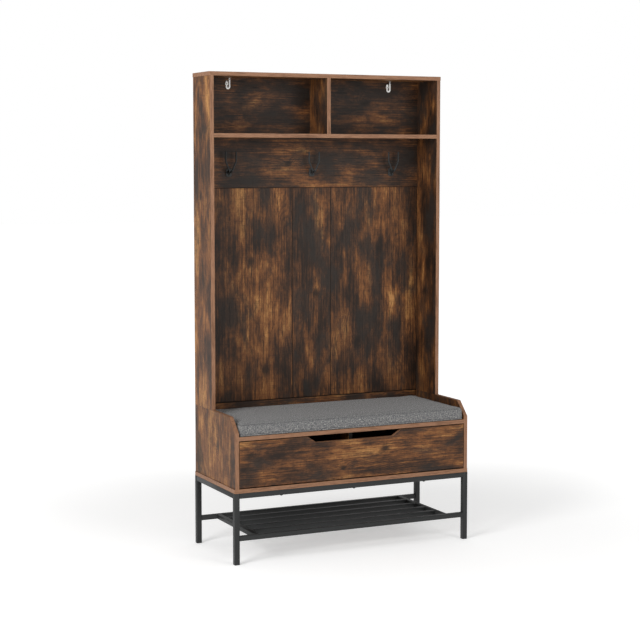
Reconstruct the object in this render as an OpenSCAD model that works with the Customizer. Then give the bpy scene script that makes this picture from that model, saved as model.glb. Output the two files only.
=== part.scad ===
// Hall tree: storage bench on a steel frame with a shoe shelf, and a hutch with coat hooks.
// +X is the right-hand side, -Y the front and +Z up. The origin is the middle of the
// footprint on the floor.

/* [Overall] */
// Width over the top and base panels
body_w = 980; // [900:10:1100]
// Depth of the bench and its frame
body_d = 400; // [380:5:440]
// Height over the top panel
body_h = 1800; // [1700:10:1900]
// Thickness of every board
board_t = 15; // [15:1:18]
// Rounding of the upright corners of the top and base panels
panel_corner_r = 4; // [2:0.5:8]
// How far the top and base panels stand proud of the side panels
overhang = 3; // [2:1:5]

/* [Steel frame] */
// Height of the frame, up to the base panel
frame_h = 265; // [240:5:300]
// Width of the square tube in the legs and top rails
leg_tube = 20; // [20:1:25]
// Width of the square tube in the shoe shelf
shelf_tube = 18; // [15:1:20]
// Wall of the square tube
tube_wall = 1.5; // [1:0.1:2]
// Top of the shoe shelf above the floor
shelf_top = 106; // [90:1:130]
// Distance from the middle to each cross-bar of the shoe shelf
crossbar_x = 396.5; // [350:0.5:410]
// Number of slats between the front and back rails
slat_count = 4; // [2:1:5]

/* [Bench] */
// Height of the top of the side panels, which are the armrests
arm_h = 540; // [520:5:600]
// Size of the sloping cut at the front of each armrest
arm_chamfer = 55; // [30:1:70]
// Height of the top of the seat board
seat_h = 472; // [460:1:500]
// Thickness of the seat cushion
cushion_t = 48; // [30:1:55]
// How far the middle support stands behind the flap
support_setback = 25; // [20:1:60]

/* [Flap] */
// Gap above and below the flap
flap_gap = 4; // [3:0.5:6]
// Gap at each end of the flap
flap_end_gap = 2.5; // [2:0.5:4]
// Width of the hand cut-out at the top edge
cut_top_w = 388; // [250:1:420]
// Width of the hand cut-out at its bottom
cut_bottom_w = 322; // [200:1:380]
// Depth of the hand cut-out
cut_depth = 23; // [15:1:35]
// Distance from the flap's pivot to each end of its stays
stay_r = 118; // [100:1:120]
// Angle at the pivot between the two ends of a stay when the flap is shut
stay_angle = 36; // [30:1:45]
// How far the flap opens
flap_open = 90; // [80:1:90]

/* [Hutch] */
// Depth of the hutch
hutch_d = 172; // [150:1:200]
// Height of the top of the upper shelf
shelf_h = 1573; // [1500:1:1600]
// Bottom of the upper back board
hook_board_z = 1368; // [1300:1:1390]
// Width of the middle back board
middle_board_w = 166; // [100:1:300]

/* [Hooks] */
// Distance between neighbouring coat hooks
hook_pitch = 350; // [250:1:400]
// Height of the bottom of the hook plates
hook_z = 1410; // [1400:1:1430]
// Height of a hook, from the plate's bottom to the tips
hook_h = 97; // [80:1:110]
// Distance between the two prongs of a hook
prong_gap = 43; // [36:1:50]
// Diameter of a prong
prong_d = 6.5; // [5:0.5:8]
// How far the prongs stand out from the board
hook_reach = 28; // [24:1:50]

/* [Anti-tip straps] */
// Distance from the middle to each strap
strap_x = 345; // [300:1:400]
// Length that a strap hangs down
strap_drop = 43; // [35:1:60]
// Width of a strap
strap_w = 6; // [5:0.5:8]

/* [Hidden] */
$fn = 48;

BOARD = [0.34, 0.2, 0.12];
STEEL = [0.1, 0.1, 0.11];
ZINC = [0.7, 0.7, 0.72];
NYLON = [0.93, 0.93, 0.91];
LINEN = [0.47, 0.47, 0.49];
BEECH = [0.8, 0.65, 0.45];

left = -1;
right = 1;
cut = 1;
fit = 0.1;

half_w = body_w / 2;
half_d = body_d / 2;
side_out = half_w - overhang;
side_in = side_out - board_t;
base_top = frame_h + board_t;
seat_under = seat_h - board_t;
back_y = half_d - board_t;
hutch_y = half_d - hutch_d;
top_under = body_h - board_t;
shelf_under = shelf_h - board_t;

flap_x = side_in - flap_end_gap;
flap_back = -half_d + board_t;
flap_z0 = base_top + flap_gap;
flap_z1 = seat_under - flap_gap;
support_y = flap_back + support_setback;

pivot_y = -half_d + board_t / 2;
pivot_z = flap_z0 + 8;
pivot_pin_r = 3;
pivot_pin_len = 26;
pin_in_flap = 15;
bush_r = 5;
bush_depth = 10;
bush_clearance = 0.06;
bush_flange_r = 7;

stay_rod_r = 2;
stay_pin_r = 2.5;
stay_plane = side_in - 14;
stay_eye_y = 17.5;
stay_lean = asin(stay_eye_y / stay_r);
eye = [pivot_y + stay_r * sin(stay_lean), pivot_z + stay_r * cos(stay_lean)];
swivel_lean = stay_lean + stay_angle;
swivel = [pivot_y + stay_r * sin(swivel_lean), pivot_z + stay_r * cos(swivel_lean)];
stay_reach = 2 * stay_r * sin((stay_angle + flap_open) / 2);
stay_slope = atan2(swivel[1] - eye[1], swivel[0] - eye[0]);
swivel_size = 14;

catch_x = 330;
fastener_inset = 34;
cam_r = 7.5;
cam_depth = 12.5;
cam_bolt_r = 3;
bolt_in_side = 10;
seat_cam_y = [-120, 120];
shelf_cam_y = [70, 145];

dowel_r = 4;
stack_dowel_y = [60, 170];
divider_dowel_y = [60, 150];
dowel_half = 15;

screw_r = 2.5;
screw_head_r = 5;
screw_head_t = 3;
screw_len = 45;
base_screw_y = [-130, 130];
support_screw_y = [-100, 100];
top_screw_y = [70, 160];

frame_bolt_x = [-300, 0, 300];
frame_bolt_r = 3;
frame_bolt_in = 11;

cap_t = 4;
cap_plug = 12;

plate_w = 24;
plate_h = 32;
plate_t = 3;
prong_root = [2.5, 16];
prong_knee = [7, 24];
prong_bend_z = 60;
hook_screw_r = 1.8;
hook_screw_len = 12;
hook_screw_z = [5.5, 26.5];

strap_t = 2.4;
strap_turn_r = 6.25;
bracket_h = 17;
bracket_t = 2.4;

// Solid between two opposite corners
module block(low, high) {
    translate(low) cube(high - low);
}

// Flat board with rounded upright corners
module slab(low, high, r) {
    d = high - low;
    translate(low) linear_extrude(d[2]) {
        translate([r, 0]) square([d[0] - 2 * r, d[1]]);
        translate([0, r]) square([d[0], d[1] - 2 * r]);
        for (x = [r, d[0] - r], y = [r, d[1] - r]) translate([x, y]) circle(r = r);
    }
}

// Round bar or hole along +X
module round_x(p, r, len) {
    translate(p) rotate([0, 90, 0]) cylinder(r = r, h = len);
}

// Round bar or hole along +Y
module round_y(p, r, len) {
    translate(p) rotate([-90, 0, 0]) cylinder(r = r, h = len);
}

// Round bar or hole along +Z
module round_z(p, r, len) {
    translate(p) cylinder(r = r, h = len);
}

// Square tube along an axis ("x", "y" or "z") between two opposite corners
module square_tube(low, high, axis) {
    along = [axis == "x" ? 1 : 0, axis == "y" ? 1 : 0, axis == "z" ? 1 : 0];
    across = [1, 1, 1] - along;
    difference() {
        block(low, high);
        block(low + tube_wall * across - cut * along, high - tube_wall * across + cut * along);
    }
}

// A part drawn for the right-hand side, or mirrored for the left
module on_side(side) {
    if (side == left) mirror([1, 0, 0]) children();
    else children();
}

// Cam locks in the underside of a board, and the bolts that they pull on
module cam_places(ys, under) {
    for (s = [left, right], y = ys) on_side(s) translate([0, y, under]) children();
}

module cam_disc(gap) {
    round_z([side_in - fastener_inset, 0, -gap], cam_r + gap, cam_depth + 2 * gap);
}

module cam_bolt(gap) {
    reach = fastener_inset - cam_r;
    round_x([side_in - reach, 0, board_t / 2], cam_bolt_r + gap, reach + bolt_in_side + gap);
}

// Upright screw: head at z = 0 and shank towards -Z
module screw_down(gap) {
    round_z([0, 0, -screw_len - gap], screw_r + gap, screw_len + gap);
    round_z([0, 0, -screw_head_t - gap], screw_head_r + gap, screw_head_t + gap);
}

module base_screw_places() {
    for (s = [left, right], y = base_screw_y)
        translate([s * (side_in + board_t / 2), y, frame_h]) mirror([0, 0, 1]) children();
    for (y = support_screw_y)
        translate([0, y, frame_h]) mirror([0, 0, 1]) children();
}

module top_screw_places() {
    for (s = [left, right], y = top_screw_y)
        translate([s * (side_in + board_t / 2), y, body_h]) children();
}

module stack_dowel_places() {
    for (s = [left, right], y = stack_dowel_y)
        translate([s * (side_in + board_t / 2), y, arm_h - dowel_half]) children();
}

module divider_dowel_places() {
    for (y = divider_dowel_y, z = [shelf_h, top_under])
        translate([0, y, z - (z == shelf_h ? 10 : 2 * dowel_half - 10)]) children();
}

module dowel(gap) {
    round_z([0, 0, -gap], dowel_r + gap, 2 * dowel_half + 2 * gap);
}

module frame_bolt_places() {
    for (x = frame_bolt_x, y = [-1, 1])
        translate([x, y * (half_d - leg_tube / 2), frame_h - leg_tube]) children();
}

module frame_bolt(gap) {
    round_z([0, 0, -gap], frame_bolt_r + gap, leg_tube + frame_bolt_in + 2 * gap);
}

module top_panel() {
    color(BOARD) difference() {
        slab([-half_w, hutch_y, top_under], [half_w, half_d, body_h], panel_corner_r);
        top_screw_places() screw_down(fit);
        divider_dowel_places() dowel(fit);
    }
}

module upper_side(side) {
    color(BOARD) difference() {
        on_side(side) block([side_in, hutch_y, arm_h], [side_out, half_d, top_under]);
        stack_dowel_places() dowel(fit);
        top_screw_places() screw_down(fit);
        cam_places(shelf_cam_y, shelf_under) cam_bolt(fit);
    }
}

module cubby_divider() {
    color(BOARD) difference() {
        block([-board_t / 2, hutch_y, shelf_h], [board_t / 2, back_y, top_under]);
        divider_dowel_places() dowel(fit);
    }
}

module upper_shelf() {
    color(BOARD) difference() {
        block([-side_in, hutch_y, shelf_under], [side_in, back_y, shelf_h]);
        cam_places(shelf_cam_y, shelf_under) cam_disc(fit);
        cam_places(shelf_cam_y, shelf_under) cam_bolt(fit);
        divider_dowel_places() dowel(fit);
    }
}

module upper_back_board() {
    color(BOARD) difference() {
        block([-side_in, back_y, hook_board_z], [side_in, half_d, top_under]);
        hook_screw_places() hook_screw(fit);
        strap_screw_places() strap_screw(fit);
    }
}

module lower_back_board(x0, x1) {
    color(BOARD) block([x0, back_y, arm_h], [x1, half_d, hook_board_z]);
}

module bench_side(side) {
    color(BOARD) difference() {
        on_side(side) translate([side_in, 0, 0]) rotate([90, 0, 90]) linear_extrude(board_t)
            polygon([
                [-half_d, base_top], [half_d, base_top], [half_d, arm_h],
                [-half_d + arm_chamfer, arm_h], [-half_d, arm_h - arm_chamfer]
            ]);
        cam_places(seat_cam_y, seat_under) cam_bolt(fit);
        stack_dowel_places() dowel(fit);
        base_screw_places() screw_down(fit);
        on_side(side)
            round_x([side_in - cut, pivot_y, pivot_z], bush_r + fit, bush_depth + cut + fit);
    }
}

module bench_back_board() {
    color(BOARD) block([-side_in, back_y, base_top], [side_in, half_d, arm_h]);
}

module seat_board() {
    color(BOARD) difference() {
        block([-side_in, -half_d, seat_under], [side_in, back_y, seat_h]);
        cam_places(seat_cam_y, seat_under) cam_disc(fit);
        cam_places(seat_cam_y, seat_under) cam_bolt(fit);
    }
}

module base_panel() {
    color(BOARD) difference() {
        slab([-half_w, -half_d, frame_h], [half_w, half_d, base_top], panel_corner_r);
        base_screw_places() screw_down(fit);
        frame_bolt_places() frame_bolt(fit);
    }
}

module middle_support() {
    color(BOARD) difference() {
        block([-board_t / 2, support_y, base_top], [board_t / 2, back_y, seat_under]);
        base_screw_places() screw_down(fit);
    }
}

module seat_cushion() {
    gap = 3;
    corner_r = 12;
    x = side_in - gap - corner_r;
    color(LINEN) translate([0, 0, seat_h]) linear_extrude(cushion_t) hull()
        for (sx = [-x, x], y = [-half_d + 2 + corner_r, back_y - gap - corner_r])
            translate([sx, y]) circle(r = corner_r, $fn = 32);
}

module flap_door() {
    color(BOARD) difference() {
        translate([0, flap_back, 0]) rotate([90, 0, 0]) linear_extrude(board_t) polygon([
            [-flap_x, flap_z0], [flap_x, flap_z0], [flap_x, flap_z1],
            [cut_top_w / 2, flap_z1], [cut_bottom_w / 2, flap_z1 - cut_depth],
            [-cut_bottom_w / 2, flap_z1 - cut_depth], [-cut_top_w / 2, flap_z1],
            [-flap_x, flap_z1]
        ]);
        for (s = [left, right]) on_side(s)
            round_x([flap_x - pin_in_flap - fit, pivot_y, pivot_z], pivot_pin_r + 0.02,
                pin_in_flap + fit + cut);
    }
}

module pivot_pins() {
    color(ZINC) for (s = [left, right]) on_side(s)
        round_x([flap_x - pin_in_flap, pivot_y, pivot_z], pivot_pin_r, pivot_pin_len);
}

module pivot_bushes() {
    color(NYLON) for (s = [left, right]) on_side(s) difference() {
        union() {
            round_x([side_in, pivot_y, pivot_z], bush_r, bush_depth);
            round_x([side_in - 1, pivot_y, pivot_z], bush_flange_r, 1);
        }
        round_x([side_in - 1 - cut, pivot_y, pivot_z], pivot_pin_r + bush_clearance,
            bush_depth + 1 + cut - 0.5);
    }
}

module strike_plates() {
    color(ZINC) for (s = [left, right]) translate([s * catch_x, flap_back, flap_z1 - 9])
        block([-12, 0, 0], [12, 1.2, 8]);
}

module magnet_catches() {
    color(STEEL) for (s = [left, right]) translate([s * catch_x, flap_back, seat_under]) {
        block([-16, 1.5, -12], [16, 16, 0]);
        block([-24, 6, -2.5], [-16, 14, 0]);
        block([16, 6, -2.5], [24, 14, 0]);
    }
}

// Plate on the bench side with the pin that the swivel turns on
module stay_base(side) {
    color(ZINC) on_side(side) {
        block([side_in - 2, swivel[0] - 18, swivel[1] - 10], [side_in, swivel[0] + 18, swivel[1] + 10]);
        round_x([side_in - 8.5, swivel[0], swivel[1]], stay_pin_r, 7.5);
    }
}

// Swivel guide: it turns on the base's pin, and the rod slides through it
module stay_swivel(side) {
    h = swivel_size / 2;
    color(STEEL) on_side(side) translate([0, swivel[0], swivel[1]]) rotate([stay_slope, 0, 0])
        difference() {
            block([stay_plane - 4.5, -h, -h + 1], [side_in - 2.3, h, h - 1]);
            round_x([side_in - 9, 0, 0], stay_pin_r + 0.08, 7);
            round_y([stay_plane, -h - cut, 0], stay_rod_r + 0.3, swivel_size + 2 * cut);
        }
}

// Stay rod: an eye on the flap's bracket, a long rod and a head that stops the flap
module stay_rod(side) {
    head = stay_reach + swivel_size / 2 + 0.4;
    color(ZINC) on_side(side) translate([stay_plane, eye[0], eye[1]]) rotate([stay_slope, 0, 0])
        difference() {
            union() {
                round_x([-2.5, 0, 0], 5, 5);
                round_y([0, 3.5, 0], stay_rod_r, head);
                round_y([0, head, 0], 4, 4);
            }
            round_x([-3.5, 0, 0], 2.1, 7);
        }
}

// Bracket on the back of the flap with the pin that carries the rod's eye
module stay_bracket(side) {
    ear = stay_plane - 3.2;
    color(ZINC) on_side(side) {
        block([ear - 12, flap_back, eye[1] - 12], [ear, flap_back + 1.5, eye[1] + 12]);
        block([ear - 2, flap_back, eye[1] - 7], [ear, eye[0] + 5, eye[1] + 7]);
        round_x([ear - 1, eye[0], eye[1]], 2, 7.4);
        round_x([ear + 5.9, eye[0], eye[1]], 3.2, 1.2);
    }
}

module leg(sx, sy) {
    x = half_w - leg_tube / 2;
    y = half_d - leg_tube / 2;
    h = leg_tube / 2;
    color(STEEL) translate([sx * x, sy * y, 0])
        square_tube([-h, -h, cap_t], [h, h, frame_h], "z");
}

module top_rail_x(sy) {
    y = sy * (half_d - leg_tube / 2);
    x = half_w - leg_tube;
    h = leg_tube / 2;
    color(STEEL) difference() {
        square_tube([-x, y - h, frame_h - leg_tube], [x, y + h, frame_h], "x");
        frame_bolt_places() frame_bolt(fit);
    }
}

module top_rail_y(sx) {
    x = sx * (half_w - leg_tube / 2);
    y = half_d - leg_tube;
    h = leg_tube / 2;
    color(STEEL) square_tube([x - h, -y, frame_h - leg_tube], [x + h, y, frame_h], "y");
}

module shelf_rail(sy) {
    y = sy * (half_d - shelf_tube / 2);
    x = half_w - leg_tube;
    h = shelf_tube / 2;
    color(STEEL) square_tube([-x, y - h, shelf_top - shelf_tube], [x, y + h, shelf_top], "x");
}

module shelf_crossbar(sx) {
    y = half_d - shelf_tube;
    x = sx * crossbar_x;
    h = shelf_tube / 2;
    color(STEEL) square_tube([x - h, -y, shelf_top - shelf_tube], [x + h, y, shelf_top], "y");
}

// Slats are evenly spaced between the front and back rails, counted from the front
module shelf_slat(i) {
    rail_y = half_d - shelf_tube / 2;
    y = -rail_y + i * 2 * rail_y / (slat_count + 1);
    x = crossbar_x - shelf_tube / 2;
    h = shelf_tube / 2;
    color(STEEL) if (i <= slat_count)
        square_tube([-x, y - h, shelf_top - shelf_tube], [x, y + h, shelf_top], "x");
}

module foot_caps() {
    x = half_w - leg_tube / 2;
    y = half_d - leg_tube / 2;
    h = leg_tube / 2;
    plug = h - tube_wall - fit;
    color(STEEL) for (sx = [-x, x], sy = [-y, y]) translate([sx, sy, 0]) {
        block([-h, -h, 0], [h, h, cap_t]);
        block([-plug, -plug, cap_t], [plug, plug, cap_t + cap_plug]);
    }
}

// Round bar with round ends between two points
module rod_between(a, b, r) {
    d = b - a;
    len = norm(d);
    translate(a) rotate([0, acos(d[2] / len), atan2(d[1], d[0])]) cylinder(r = r, h = len);
    translate(b) sphere(r = r * 1.03);
}

// Coat hook: a screwed plate with two prongs that come forwards, part in a V and stand upright
module coat_hook(x) {
    r = prong_d / 2;
    front = r - hook_reach;
    root = [prong_root[0], 1 - plate_t - r, prong_root[1]];
    knee = [prong_knee[0], front, prong_knee[1]];
    bend = [prong_gap / 2, front, prong_bend_z];
    tip = [prong_gap / 2, front, hook_h - r];
    color(STEEL) translate([x, back_y, hook_z]) {
        difference() {
            block([-plate_w / 2, -plate_t, 0], [plate_w / 2, 0, plate_h]);
            for (z = hook_screw_z) round_y([0, -plate_t - cut, z], hook_screw_r + fit, plate_t + 2 * cut);
        }
        for (s = [left, right]) on_side(s) {
            translate(root) sphere(r = r * 1.03);
            rod_between(root, knee, r);
            rod_between(knee, bend, r);
            rod_between(bend, tip, r);
        }
    }
}

module hook_screw_places() {
    for (i = [-1, 0, 1], z = hook_screw_z)
        translate([i * hook_pitch, back_y - plate_t, hook_z + z]) children();
}

module hook_screw(gap) {
    round_y([0, -gap, 0], hook_screw_r + gap, plate_t + hook_screw_len + 2 * gap);
}

module hook_screws() {
    color(STEEL) hook_screw_places() {
        hook_screw(0);
        round_y([0, -2, 0], 3.5, 2);
    }
}

// Screws that hold the top of each anti-tip strap
module strap_screw_places() {
    for (s = [left, right])
        translate([s * strap_x, back_y - strap_t, top_under - 6]) children();
}

module strap_screw(gap) {
    round_y([0, -gap, 0], 1.5 + gap, strap_t + 10 + 2 * gap);
}

// Anti-tip strap: it hangs from its screw and turns up to the wall bracket at its free end
module tip_strap(side) {
    h = strap_w / 2;
    bend_z = top_under - strap_drop + strap_turn_r + h;
    short_x = -2 * strap_turn_r;
    end_z = top_under - 20;
    color(NYLON) translate([side * strap_x, back_y, 0]) rotate([90, 0, 0])
        linear_extrude(strap_t) difference() {
            union() {
                translate([-h, bend_z]) square([strap_w, top_under - bend_z - 0.5]);
                translate([short_x - h, bend_z]) square([strap_w, end_z - bend_z - bracket_h / 2]);
                intersection() {
                    translate([short_x / 2, bend_z]) difference() {
                        circle(r = strap_turn_r + h);
                        circle(r = strap_turn_r - h);
                    }
                    translate([short_x - h, bend_z - 2 * strap_turn_r])
                        square([2 * strap_turn_r + strap_w, 2 * strap_turn_r + 0.01]);
                }
            }
            translate([0, top_under - 6]) circle(r = 1.5 + fit);
        }
}

// Drop-shaped wall bracket at the free end of a strap, with its screw hole
module tip_bracket(side) {
    color(NYLON) translate([side * strap_x - 2 * strap_turn_r, back_y, top_under - 20])
        rotate([90, 0, 0]) difference() {
            linear_extrude(bracket_t + 1.6) union() {
                translate([0, -bracket_h / 2 + 5.5]) circle(r = 5.5);
                polygon([[-5.2, -bracket_h / 2 + 7.4], [5.2, -bracket_h / 2 + 7.4],
                    [2, bracket_h / 2], [-2, bracket_h / 2]]);
            }
            translate([0, -bracket_h / 2 + 5.5, -cut]) cylinder(r = 2, h = bracket_t + 4 * cut);
        }
}

module cam_locks() {
    color(ZINC) {
        cam_places(seat_cam_y, seat_under) cam_lock();
        cam_places(shelf_cam_y, shelf_under) cam_lock();
    }
}

module cam_lock() {
    difference() {
        cam_disc(0);
        translate([side_in - fastener_inset, 0, 0]) block([-5, -0.8, -cut], [5, 0.8, 2.5]);
    }
}

module cam_bolts() {
    color(ZINC) {
        cam_places(seat_cam_y, seat_under) cam_bolt(0);
        cam_places(shelf_cam_y, shelf_under) cam_bolt(0);
    }
}

module dowels() {
    color(BEECH) {
        stack_dowel_places() dowel(0);
        divider_dowel_places() dowel(0);
    }
}

module panel_screws() {
    color(ZINC) {
        base_screw_places() screw_down(0);
        top_screw_places() screw_down(0);
        strap_screw_places() {
            strap_screw(0);
            round_y([0, -1.5, 0], 3, 1.5);
        }
    }
}

module frame_bolts() {
    color(STEEL) frame_bolt_places() {
        frame_bolt(0);
        round_z([0, 0, -4], 5.5, 4);
    }
}

top_panel();
upper_side(left);  // upper_side_left
upper_side(right);  // upper_side_right
cubby_divider();
upper_shelf();
upper_back_board();
lower_back_board(-side_in, -middle_board_w / 2);  // back_board_left
lower_back_board(-middle_board_w / 2, middle_board_w / 2);  // back_board_middle
lower_back_board(middle_board_w / 2, side_in);  // back_board_right
bench_side(left);  // bench_side_left
bench_side(right);  // bench_side_right
bench_back_board();
seat_board();
base_panel();
middle_support();
seat_cushion();
flap_door();
pivot_pins();
pivot_bushes();
strike_plates();
magnet_catches();
stay_base(left);  // stay_base_left
stay_base(right);  // stay_base_right
stay_swivel(left);  // stay_swivel_left
stay_swivel(right);  // stay_swivel_right
stay_rod(left);  // stay_rod_left
stay_rod(right);  // stay_rod_right
stay_bracket(left);  // stay_bracket_left
stay_bracket(right);  // stay_bracket_right
leg(-1, -1);  // leg_front_left
leg(1, -1);  // leg_front_right
leg(-1, 1);  // leg_back_left
leg(1, 1);  // leg_back_right
top_rail_x(-1);  // top_rail_front
top_rail_x(1);  // top_rail_back
top_rail_y(-1);  // top_rail_left
top_rail_y(1);  // top_rail_right
shelf_rail(-1);  // shelf_rail_front
shelf_rail(1);  // shelf_rail_back
shelf_crossbar(-1);  // shelf_crossbar_left
shelf_crossbar(1);  // shelf_crossbar_right
shelf_slat(1);  // shelf_slat_1
shelf_slat(2);  // shelf_slat_2
shelf_slat(3);  // shelf_slat_3
shelf_slat(4);  // shelf_slat_4
foot_caps();
coat_hook(-hook_pitch);  // coat_hook_left
coat_hook(0);  // coat_hook_middle
coat_hook(hook_pitch);  // coat_hook_right
hook_screws();
tip_strap(left);  // tip_strap_left
tip_strap(right);  // tip_strap_right
tip_bracket(left);  // tip_bracket_left
tip_bracket(right);  // tip_bracket_right
cam_locks();
cam_bolts();
dowels();
panel_screws();
frame_bolts();
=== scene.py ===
"""Looks of the hall tree: printed boards, a steel frame, coat hooks and a linen seat cushion.
Everything is in metres. +X is the right-hand side, -Y the front and +Z up."""
import math

import bmesh
import bpy
import numpy as np
from mathutils import Matrix, Vector


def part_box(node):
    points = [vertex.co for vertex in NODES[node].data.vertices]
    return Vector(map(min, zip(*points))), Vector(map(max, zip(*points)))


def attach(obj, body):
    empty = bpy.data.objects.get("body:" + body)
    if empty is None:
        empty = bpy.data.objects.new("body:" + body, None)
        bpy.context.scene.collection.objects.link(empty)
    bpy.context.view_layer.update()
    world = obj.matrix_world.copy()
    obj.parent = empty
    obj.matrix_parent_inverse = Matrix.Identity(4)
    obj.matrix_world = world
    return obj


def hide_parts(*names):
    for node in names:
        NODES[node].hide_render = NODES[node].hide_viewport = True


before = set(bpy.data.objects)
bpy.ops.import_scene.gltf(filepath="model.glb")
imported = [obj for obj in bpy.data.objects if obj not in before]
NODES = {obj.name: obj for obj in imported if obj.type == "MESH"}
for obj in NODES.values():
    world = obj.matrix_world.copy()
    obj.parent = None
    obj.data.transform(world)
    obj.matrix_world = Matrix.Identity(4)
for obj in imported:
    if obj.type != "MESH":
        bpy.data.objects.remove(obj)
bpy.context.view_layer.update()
SCENE = bpy.context.scene
MM = 0.001
Y, Z = Vector((0, 1, 0)), Vector((0, 0, 1))


# ---------------------------------------------------------------- node graphs

def colour(r, g, b):
    """Linear RGBA of an sRGB colour with channels from 0 to 255."""
    def linear(c):
        c = c / 255
        return c / 12.92 if c <= 0.04045 else ((c + 0.055) / 1.055) ** 2.4
    return (linear(r), linear(g), linear(b), 1)


class Graph:
    """A material's node tree, with a short call for each kind of node it needs."""

    def __init__(self, name, **shader):
        self.material = bpy.data.materials.new(name)
        self.material.use_nodes = True
        self.tree = self.material.node_tree
        self.shader = self.tree.nodes["Principled BSDF"]
        for key, value in shader.items():
            self.set(key.replace("_", " ").title(), value)
        coordinates = self.tree.nodes.new("ShaderNodeTexCoord")
        self.place = coordinates.outputs["Object"]
        self.normal = coordinates.outputs["Normal"]

    def put(self, socket, value):
        if isinstance(value, bpy.types.NodeSocket):
            self.tree.links.new(value, socket)
        else:
            socket.default_value = value

    def set(self, name, value):
        found = {k.lower(): k for k in self.shader.inputs.keys()}
        self.put(self.shader.inputs[found[name.lower()]], value)

    def node(self, kind, **settings):
        made = self.tree.nodes.new("ShaderNode" + kind)
        for key, value in settings.items():
            setattr(made, key, value)
        return made

    def math(self, operation, *values):
        made = self.node("Math", operation=operation)
        for socket, value in zip(made.inputs, values):
            self.put(socket, value)
        return made.outputs[0]

    def split(self, vector):
        made = self.node("SeparateXYZ")
        self.put(made.inputs[0], vector)
        return made.outputs[:]

    def join(self, *values):
        made = self.node("CombineXYZ")
        for socket, value in zip(made.inputs, values):
            self.put(socket, value)
        return made.outputs[0]

    def scaled(self, x, y=None, z=None):
        """The place on the object, multiplied by one number or by one for each axis."""
        if y is None:
            made = self.node("VectorMath", operation="SCALE")
            self.put(made.inputs[0], self.place)
            made.inputs["Scale"].default_value = x
            return made.outputs[0]
        axes = self.split(self.place)
        return self.join(*[self.math("MULTIPLY", axis, amount) for axis, amount in zip(axes, (x, y, z))])

    def noise(self, vector, detail=2.0, roughness=0.5, distortion=0.0):
        made = self.node("TexNoise", noise_dimensions="3D")
        self.put(made.inputs["Vector"], vector)
        made.inputs["Scale"].default_value = 1
        made.inputs["Detail"].default_value = detail
        made.inputs["Roughness"].default_value = roughness
        made.inputs["Distortion"].default_value = distortion
        return made.outputs["Fac"]

    def smooth(self, value, low, high, to_low=0.0, to_high=1.0):
        made = self.node("MapRange", interpolation_type="SMOOTHSTEP", clamp=True)
        for socket, number in zip(made.inputs, (value, low, high, to_low, to_high)):
            self.put(socket, number)
        return made.outputs[0]

    def mix(self, share, a, b):
        made = self.node("Mix", data_type="RGBA")
        self.put(made.inputs["Factor"], share)
        for socket, value in zip([s for s in made.inputs if s.type == "RGBA"], (a, b)):
            self.put(socket, value)
        return [s for s in made.outputs if s.type == "RGBA"][0]

    def ramp(self, value, stops):
        made = self.node("ValToRGB")
        self.put(made.inputs[0], value)
        elements = made.color_ramp.elements
        while len(elements) < len(stops):
            elements.new(0.5)
        for element, (position, shade) in zip(elements, stops):
            element.position = position
            element.color = shade
        return made.outputs[0]

    def bump(self, height, depth, strength):
        made = self.node("Bump")
        made.inputs["Strength"].default_value = strength
        made.inputs["Distance"].default_value = depth
        self.put(made.inputs["Height"], height)
        return made.outputs[0]


# ------------------------------------------------------------------ materials

CUSHION_LOW, CUSHION_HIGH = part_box("seat_cushion")
# How far the two sewn seams round the cushion's border lie from its top and bottom, and their heights
SEAM_INSET = 7 * MM
SEAM_HEIGHTS = (CUSHION_HIGH.z - SEAM_INSET, CUSHION_LOW.z + SEAM_INSET)

CHARCOAL = colour(40, 36, 33)
UMBER = colour(33, 22, 15)
WALNUT = colour(70, 44, 26)
CHESTNUT = colour(120, 75, 40)
AMBER = colour(178, 128, 74)
BAND = colour(140, 103, 78)
BAND_DARK = colour(118, 83, 61)
DARK_PRINT_AND_PAINTED_SHADE = colour(26, 19, 14)


RINGS_PER_METRE = 150.0


def growth_rings(g, along, across, v, knots, grain):
    """Late-wood lines that bend round the knots, and the shade of the knots."""
    sway = grain(1.3, 5.0, 0.0, 2.0, 0.5)
    field = g.math("MULTIPLY_ADD", sway, 0.26, v)
    knot_shade = 0.0
    for ku, kv, radius in knots:
        du = g.math("MULTIPLY", g.math("SUBTRACT", along, ku), 0.6 / radius)
        dv = g.math("DIVIDE", g.math("SUBTRACT", across, kv), radius)
        away = g.math("SQRT", g.math("MULTIPLY_ADD", du, du, g.math("MULTIPLY", dv, dv)))
        bulge = g.math("POWER", 2.718, g.math("MULTIPLY", g.math("MULTIPLY", away, away), -0.3))
        field = g.math("MULTIPLY_ADD", bulge, radius * 2.2, field)
        ragged = g.math("MULTIPLY_ADD", grain(40.0, 90.0, 2.0), 1.6, away)
        knot_shade = g.math("MAXIMUM", g.smooth(ragged, 2.2, 1.0), knot_shade)
    rings = g.math("FRACT", g.math("MULTIPLY", field, RINGS_PER_METRE))
    late = g.math("MULTIPLY", g.smooth(rings, 0.25, 0.9), g.smooth(rings, 1.0, 0.93))
    shown = g.smooth(grain(2.0, 6.0, 3.0), 0.42, 0.62)
    return g.math("MULTIPLY", late, shown), knot_shade


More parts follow.
